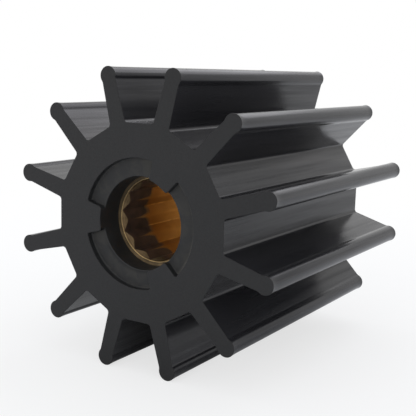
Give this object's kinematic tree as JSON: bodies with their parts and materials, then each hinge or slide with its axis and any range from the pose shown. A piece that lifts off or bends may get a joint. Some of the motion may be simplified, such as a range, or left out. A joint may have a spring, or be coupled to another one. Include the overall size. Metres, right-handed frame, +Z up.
{
  "type": "rubber pump impeller",
  "caption": "Marine pump impeller: straight rubber vanes with beaded tips on a flat-sided hub, bonded to a brass bush with a star-shaped drive bore set deep in a round mouth.",
  "frame": {"origin": "on the impeller's axis at mid-length", "axes": "+Y along the impeller's axis, away from the end that faces the viewer; +Z up, opposite the gap between the two vanes that it lies on; +X to the right seen from the -Y end"},
  "size_m": [0.092, 0.0952, 0.092],
  "materials": {
    "rubber": "moulded satin",
    "bush_metal": "machined"
  },
  "bodies": {
    "root": {"rubber_body": "rubber", "splined_insert": "bush_metal"}
  },
  "joints": []
}
